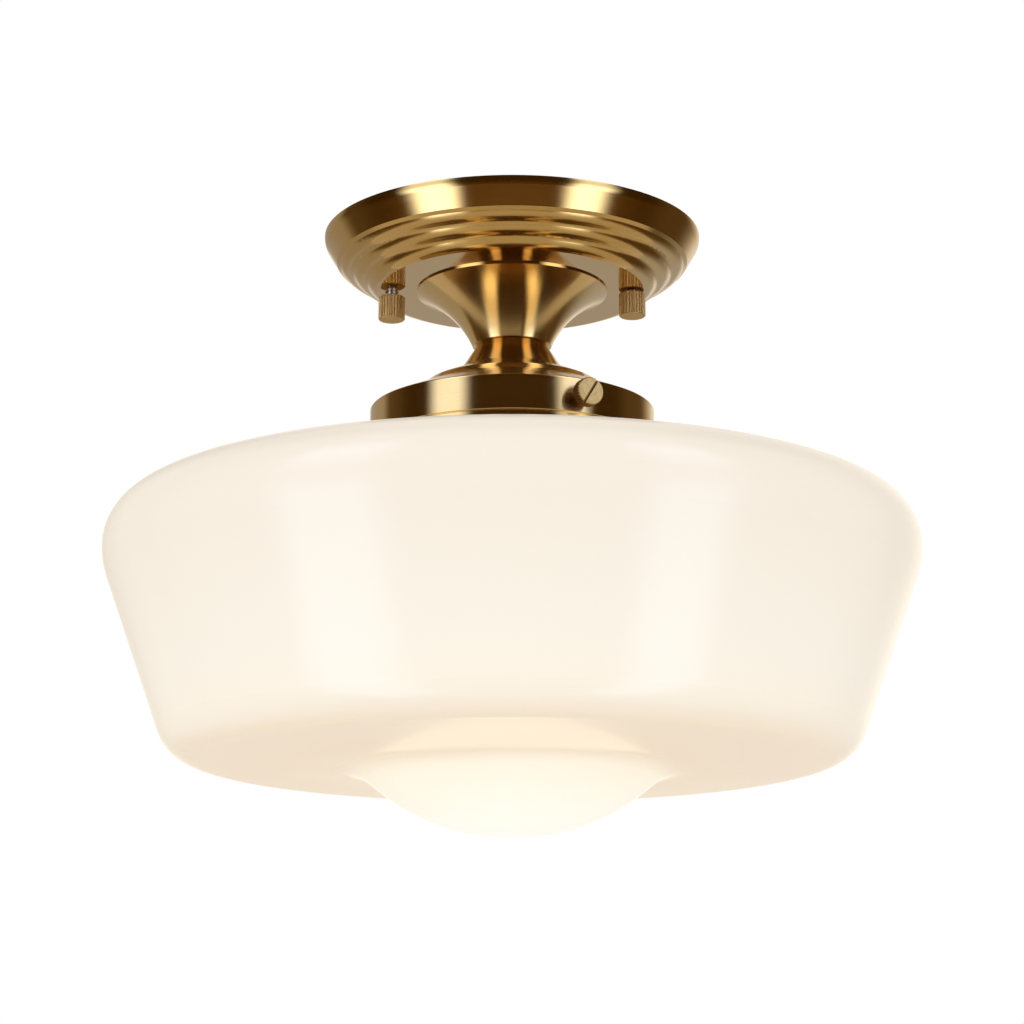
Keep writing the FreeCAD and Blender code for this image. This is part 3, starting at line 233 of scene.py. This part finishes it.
def satin_brass(name, tones, roughness, mirror_below=None):
    """Brushed and lacquered brass. Anything below a height is buffed to a mirror."""
    finish = new_finish(name)
    radius, along, drift = turning(finish)
    lines = brush_lines(finish, radius, along, drift, BRUSH_LINES_PER_METRE)
    cloud = finish.noise(finish.here(), 22.0, 3.0)
    rough = roughness + lines * 0.08 + cloud * 0.03
    if mirror_below is not None:
        mirror = finish.rise(0.0 - along, -mirror_below - 0.0002, -mirror_below)
        rough = rough * (1.0 - mirror * 0.70)
        lines = lines * (1.0 - mirror * 0.8)
    return finish.surface({
        "Base Color": finish.mix(cloud * 0.7 + lines * 0.3, *tones),
        "Metallic": 1.0,
        "Roughness": rough,
        "Anisotropic": 0.93,
        "Anisotropic Rotation": 0.25,
        "Normal": finish.bump(lines, 0.20, 0.00002),
        "Coat Weight": 0.3,
        "Coat Roughness": 0.08,
    })


canopy_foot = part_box("canopy")[0][2]
# Painted shade: the canopy takes darker tones than the same brass on the neck and fitter.
paint(satin_brass("satin_brass_canopy", SHADED_BRASS_TONES, 0.11, canopy_foot + MIRROR_DEPTH), "canopy")


# Trumpet neck: spun from brass sheet, hollow, with a rolled edge against the canopy's flat. The threaded
# tube through its floor pulls it tight between canopy and fitter. It is brushed and lacquered as they are.
paint(satin_brass("satin_brass_trumpet", PALE_TONES, 0.11), "trumpet_neck")


# Shade fitter: spun brass, with a conical neck, a low dome and a collar whose edge is rolled to a bead.
# Two lugs are pressed in from outside, and a threaded boss takes the thumb screw.
paint(satin_brass("satin_brass_fitter", PALE_TONES, 0.11), "shade_fitter")


# Knurled cap nuts on the two studs, the thumb screw that grips the glass, and the lamp holder's brass
# contacts. They are turned from raw brass bar and left unlacquered: the faces keep the tool's rings. The
# screw's face is given by its distance from the light's axis.
RAW_BRASS = (0.62, 0.38, 0.11)
RAW_BRASS_PALE = (0.88, 0.63, 0.28)
# Dark brass where it is handled, also used as painted shade behind the screw head's face.
HANDLED_AND_SHADED_BRASS = (0.24, 0.125, 0.03)
TOOL_RINGS_PER_METRE = 1500.0
SCREW_FACE = 0.0617
SCREW_AZIMUTH = math.radians(27.0)


def middle(name):
    low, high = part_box(name)
    return tuple((low[axis] + high[axis]) / 2 for axis in range(3))


def raw_brass(name, centre, axis=(0.0, 0.0, 1.0), roughness=0.40, handled=0.06, face=None):
    """Bright turned brass, dulled where it is often handled. Behind a slotted head's face, painted shade
    darkens the slot and the rest of the head.
    """
    finish = new_finish(name)
    radius, along, drift = turning(finish, centre, axis)
    rings = brush_lines(finish, radius, along, drift, TOOL_RINGS_PER_METRE)
    tarnish = finish.noise(finish.here(), 420.0, 3.0)
    bright = finish.mix(rings * 0.6 + tarnish * 0.4, RAW_BRASS, RAW_BRASS_PALE)
    dull_and_shade = finish.rise(tarnish * 0.5 + rings * 0.5, 0.62, 0.38) * (handled * 0.6) + handled * 0.4
    if face is not None:
        # Painted shade: more than a millimetre behind the screw head's face, in the slot and round the head,
        # the brass goes to the dark handled colour.
        dull_and_shade = dull_and_shade.maths("MAXIMUM", dull_and_shade, finish.rise(face - along, 0.0002, 0.0009))
    return finish.surface({
        "Base Color": finish.mix(dull_and_shade, bright, HANDLED_AND_SHADED_BRASS),
        "Metallic": 1.0,
        "Roughness": roughness + rings * 0.22 + tarnish * 0.10,
        "Normal": finish.bump(rings, 0.6, 0.00012),
    })


for side in ("left", "right"):
    nut = f"cap_nut_{side}"
    paint(raw_brass(f"turned_brass_{side}", middle(nut)), nut)
screw_axis = (math.sin(SCREW_AZIMUTH), -math.cos(SCREW_AZIMUTH), 0.0)
screw_height = middle("thumb_screw")[2]
screw_brass = raw_brass("turned_brass_screw", (0.0, 0.0, screw_height), screw_axis, 0.26, 0.35, SCREW_FACE)
paint(screw_brass, "thumb_screw")
paint(raw_brass("turned_brass_contacts", (0.0, 0.0, 0.0)), "holder_centre_contact", "terminal_screw_hot")


# Lamp holder: a plated aluminium cap whose hub screws on the tube, a glazed porcelain body, and a rolled
# screw shell. A set screw locks the hub, and two terminal screws take the leads.
PLATE = (0.74, 0.73, 0.71)
PLATE_SMEARED = (0.62, 0.61, 0.60)
PORCELAIN = (0.84, 0.82, 0.77)
PORCELAIN_POOLED = (0.88, 0.87, 0.84)
PORCELAIN_SPECK = (0.52, 0.45, 0.36)


def plated_aluminium():
    finish = new_finish("plated_aluminium")
    radius, along, drift = turning(finish)
    lines = brush_lines(finish, radius, along, drift, BRUSH_LINES_PER_METRE)
    smears = finish.noise(finish.here(), 90.0, 4.0, 0.6)
    return finish.surface({
        "Base Color": finish.mix(smears, PLATE, PLATE_SMEARED),
        "Metallic": 1.0,
        "Roughness": 0.18 + lines * 0.14 + smears * 0.10,
        "Normal": finish.bump(lines, 0.2, 0.00003),
    })


def glazed_porcelain():
    finish = new_finish("glazed_porcelain")
    where = finish.here()
    speck = finish.rise(finish.noise(where, 1600.0, 2.0), 0.70, 0.78)
    pooling = finish.noise(where, 55.0, 3.0)
    glaze = finish.mix(pooling, PORCELAIN, PORCELAIN_POOLED)
    return finish.surface({
        "Base Color": finish.mix(speck * 0.6, glaze, PORCELAIN_SPECK),
        "Roughness": 0.30 + pooling * 0.08,
        "Normal": finish.bump(pooling, 0.15, 0.0004),
        "Coat Weight": 0.9,
        "Coat Roughness": 0.05,
    })


PLATED = plated_aluminium()
paint(PLATED, "holder_cap", "holder_screw_shell", "lamp_cap")
paint(glazed_porcelain(), "holder_body")
paint(STEEL, "holder_set_screw", "terminal_screw_neutral", "lamp_end_contact")


# Lamp: a screw lamp with a rolled aluminium cap, a black glass insulator under a small end contact, and a
# globe frosted inside, which glows warm all over. It screws into the holder from below.
INSULATOR_BLACK = (0.012, 0.012, 0.014)
INSULATOR_GREY = (0.03, 0.03, 0.035)
FROST = (0.88, 0.86, 0.82)
FROST_THIN = (0.93, 0.92, 0.90)
LAMP_GLOW = (1.0, 0.80, 0.55)
LAMP_GLOW_THIN = (1.0, 0.86, 0.66)


def black_glass():
    finish = new_finish("black_glass")
    swirl = finish.noise(finish.here(), 260.0, 4.0)
    return finish.surface({
        "Base Color": finish.mix(swirl, INSULATOR_BLACK, INSULATOR_GREY),
        "Roughness": 0.08 + swirl * 0.12,
        "Normal": finish.bump(swirl, 0.2, 0.0001),
    })


def frosted_glass():
    finish = new_finish("frosted_glass")
    where = finish.here()
    frost = finish.noise(where, 2400.0, 3.0)
    thickness = finish.noise(where, 40.0, 2.0)
    return finish.surface({
        "Base Color": finish.mix(thickness, FROST, FROST_THIN),
        "Roughness": 0.22 + frost * 0.12,
        "Normal": finish.bump(frost, 0.1, 0.00003),
        "Emission Color": finish.mix(thickness, LAMP_GLOW, LAMP_GLOW_THIN),
        "Emission Strength": 0.6,
    })


paint(black_glass(), "lamp_insulator")
paint(frosted_glass(), "lamp_globe")


# Leads and connectors: stranded copper in soft plastic insulation, black, white and green, led from the
# holder through the tube into the canopy, and joined to the supply by ribbed twist-on connectors.
INSULATION = {
    "lead_hot": ((0.018, 0.018, 0.020), (0.034, 0.033, 0.034)),
    "lead_neutral": ((0.72, 0.71, 0.67), (0.80, 0.79, 0.76)),
    "lead_ground": ((0.04, 0.24, 0.07), (0.07, 0.32, 0.11)),
}
CONNECTOR = (0.66, 0.24, 0.04)
CONNECTOR_PALE = (0.74, 0.30, 0.07)


def soft_insulation(name, shade_colours):
    finish = new_finish(f"{name}_insulation")
    where = finish.here()
    powder = finish.noise(where, 160.0, 4.0)
    grain = finish.noise(where, 3000.0, 2.0)
    return finish.surface({
        "Base Color": finish.mix(powder, *shade_colours),
        "Roughness": 0.36 + powder * 0.16,
        "Normal": finish.bump(grain, 0.12, 0.00003),
    })


def moulded_plastic():
    finish = new_finish("connector_plastic")
    where = finish.here()
    flow = finish.noise(where, 120.0, 3.0)
    grain = finish.noise(where, 2600.0, 3.0)
    return finish.surface({
        "Base Color": finish.mix(flow, CONNECTOR, CONNECTOR_PALE),
        "Roughness": 0.34 + grain * 0.14,
        "Normal": finish.bump(grain, 0.2, 0.00004),
    })


for name, shade_colours in INSULATION.items():
    paint(soft_insulation(name, shade_colours), name)
paint(moulded_plastic(), "wire_connector_hot", "wire_connector_neutral", "wire_connector_ground")


# Glass shade: opal glass blown into a mould, with a lip that rests on the fitter's lugs and screw, a wide
# shoulder, a leaning flank and a rounded bulge below. It is glossy outside. Its glow is painted: emission
# stands in for the lamp's light through the glass, dim near the neck, with a band of painted shade on the
# underside, and brightest on the bulge.
OPAL = (0.86, 0.82, 0.755)
OPAL_THIN = (0.88, 0.84, 0.785)
# Painted light: emission colours by depth below the lip, standing in for the lamp's light through the glass.
PAINTED_GLOW_FROM_TOP = (
    (0.10, (0.10, 0.075, 0.04)),
    (0.20, (0.14, 0.11, 0.07)),
    (0.29, (0.34, 0.29, 0.22)),
    (0.70, (0.40, 0.36, 0.29)),
    (0.80, (0.42, 0.36, 0.27)),
    (0.845, (0.41, 0.28, 0.14)),
    (0.87, (0.52, 0.45, 0.33)),
    (1.00, (0.58, 0.55, 0.49)),
)


def opal_glass():
    finish = new_finish("opal_glass")
    low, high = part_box("glass_shade")
    along = turning(finish)[1]
    depth = (high[2] - along) / (high[2] - low[2])
    cast_lines = finish.noise(finish.here(), 9.0, 3.0)
    # Painted glow and shade by depth below the lip: dim near the neck, darker on the underside band,
    # brightest on the bulge.
    painted_glow = finish.node("ShaderNodeValToRGB", {"stops": PAINTED_GLOW_FROM_TOP}, {0: depth + cast_lines * 0.02 - 0.01})
    return finish.surface({
        "Base Color": finish.mix(cast_lines, OPAL, OPAL_THIN),
        "Roughness": 0.16 + cast_lines * 0.04,
        "Normal": finish.bump(cast_lines, 0.1, 0.0015),
        "Emission Color": painted_glow,
        "Emission Strength": 1.0,
        "Specular IOR Level": 0.14,
        "Coat Weight": 0.15,
        "Coat Roughness": 0.03,
    })


paint(opal_glass(), "glass_shade")


# Studio: a pale floor, two soft lamps in front to the left and right, and a white room. A mirror finish sees
# two tall windows, a doorway behind and darker walls. Angles are in degrees across from the front, and the
# windows are dimmer about eye level than above and below it.
CAMERA_PLACE = (0.0, -0.9347, -0.3253)
CAMERA_PITCH = math.radians(13.21)
CAMERA_LENS = 90.9
FLOOR_DROP = 0.28
FLOOR_RADIUS = 6.0
FLOOR_GREY = (0.86, 0.86, 0.85)
FLOOR_PALE = (0.89, 0.89, 0.88)
WINDOW = (1.3, 1.45, 1.95)
WINDOW_ENDS = (2.9, 3.4, 4.8)
DOORWAY = (0.42, 0.38, 0.32)
PANES = (
    (-67.0, -38.0, WINDOW, WINDOW_ENDS),
    (39.0, 63.0, WINDOW, WINDOW_ENDS),
    (-165.0, -122.0, DOORWAY, DOORWAY),
)
PANE_SOFTNESS = 7.0
EYE_LEVEL = 10.0
DARK_WALL = (0.048, 0.024, 0.005)
DARK_LOW = (0.13, 0.062, 0.009)
SIDE_WALL = (0.11, 0.068, 0.028)
BACK_HIGH = (0.90, 0.82, 0.70)
BACK_LOW = (0.48, 0.48, 0.49)
ROOM_LIGHT = 0.50
LAMP_REACH = 1.6
LAMP_HEIGHT = 0.25
LAMP_AIM = (0.0, 0.0, -0.12)


def studio_room():
    world = bpy.data.worlds.new("studio")
    bpy.context.scene.world = world
    finish = Finish(world)
    way = finish.node("ShaderNodeTexCoord", output="Generated")
    parts = finish.node("ShaderNodeSeparateXYZ", None, {0: way}, 0)
    split = parts.socket.node
    across, deep, high = (Value(split.outputs[axis]) for axis in range(3))
    degrees = 180.0 / math.pi
    azimuth = across.maths("ARCTAN2", across, 0.0 - deep) * degrees
    height = high.maths("ARCSINE", high) * degrees
    turned = azimuth.maths("ABSOLUTE", azimuth)
    side = finish.rise(turned, 88.0, 112.0)
    back = finish.rise(turned, 125.0, 160.0)
    sky = finish.rise(height, -8.0, 6.0)
    front = finish.mix(finish.rise(0.0 - height, 18.0, 36.0), DARK_WALL, DARK_LOW)
    walls = finish.mix(side, front, SIDE_WALL)
    walls = finish.mix(back, walls, finish.mix(sky, BACK_LOW, BACK_HIGH))
    open_height = finish.rise(height, -74.0, -54.0) * finish.rise(0.0 - height, -60.0, -40.0)
    off_level = height - EYE_LEVEL
    ends = finish.rise(off_level.maths("ABSOLUTE", off_level), 8.0, 24.0)
    for start, end, level, beyond in PANES:
        left_edge = finish.rise(azimuth, start - PANE_SOFTNESS, start + PANE_SOFTNESS)
        right_edge = finish.rise(0.0 - azimuth, -end - PANE_SOFTNESS, -end + PANE_SOFTNESS)
        walls = finish.mix(left_edge * right_edge * open_height, walls, finish.mix(ends, level, beyond))
    path = finish.node("ShaderNodeLightPath", output="Is Camera Ray")
    rays = path.socket.node
    mirrored = Value(rays.outputs["Is Glossy Ray"])
    plain = finish.mix(mirrored, (ROOM_LIGHT,) * 3, walls)
    seen = finish.mix(path, plain, (1.0, 1.0, 1.0))
    background = finish.node("ShaderNodeBackground", None, {"Color": seen, "Strength": 1.0})
    finish.node("ShaderNodeOutputWorld", None, {"Surface": background})


def soft_lamp(name, azimuth, watts, size):
    light = bpy.data.lights.new(name, "AREA")
    light.shape = "RECTANGLE"
    light.size, light.size_y = size
    light.energy = watts
    lamp = bpy.data.objects.new(name, light)
    turn = math.radians(azimuth)
    lamp.location = (LAMP_REACH * math.sin(turn), -LAMP_REACH * math.cos(turn), LAMP_HEIGHT)
    aim = Vector(LAMP_AIM) - lamp.location
    lamp.rotation_euler = aim.to_track_quat("-Z", "Y").to_euler()
    lamp.visible_glossy = False
    bpy.context.scene.collection.objects.link(lamp)


def pale_floor():
    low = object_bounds()[0]
    bpy.ops.object.select_all(action="DESELECT")
    place = (0.0, 0.0, low[2] - FLOOR_DROP)
    bpy.ops.mesh.primitive_circle_add(vertices=96, radius=FLOOR_RADIUS, fill_type="NGON", location=place)
    floor = bpy.context.active_object
    floor.name = "floor"
    finish = new_finish("floor")
    grain = finish.noise(finish.here(), 30.0, 4.0)
    floor.data.materials.append(finish.surface({
        "Base Color": finish.mix(grain, FLOOR_GREY, FLOOR_PALE),
        "Roughness": 0.85,
    }))
    floor.visible_glossy = False


studio_room()
soft_lamp("left_lamp", -50.0, 5.0, (1.0, 1.6))
soft_lamp("right_lamp", 50.0, 4.3, (0.8, 1.6))
pale_floor()

eye = bpy.data.cameras.new("camera")
eye.lens = CAMERA_LENS
camera = bpy.data.objects.new("camera", eye)
camera.location = CAMERA_PLACE
camera.rotation_euler = (math.pi / 2 + CAMERA_PITCH, 0.0, 0.0)
bpy.context.scene.collection.objects.link(camera)
bpy.context.scene.camera = camera
bpy.context.scene.view_settings.view_transform = "Standard"
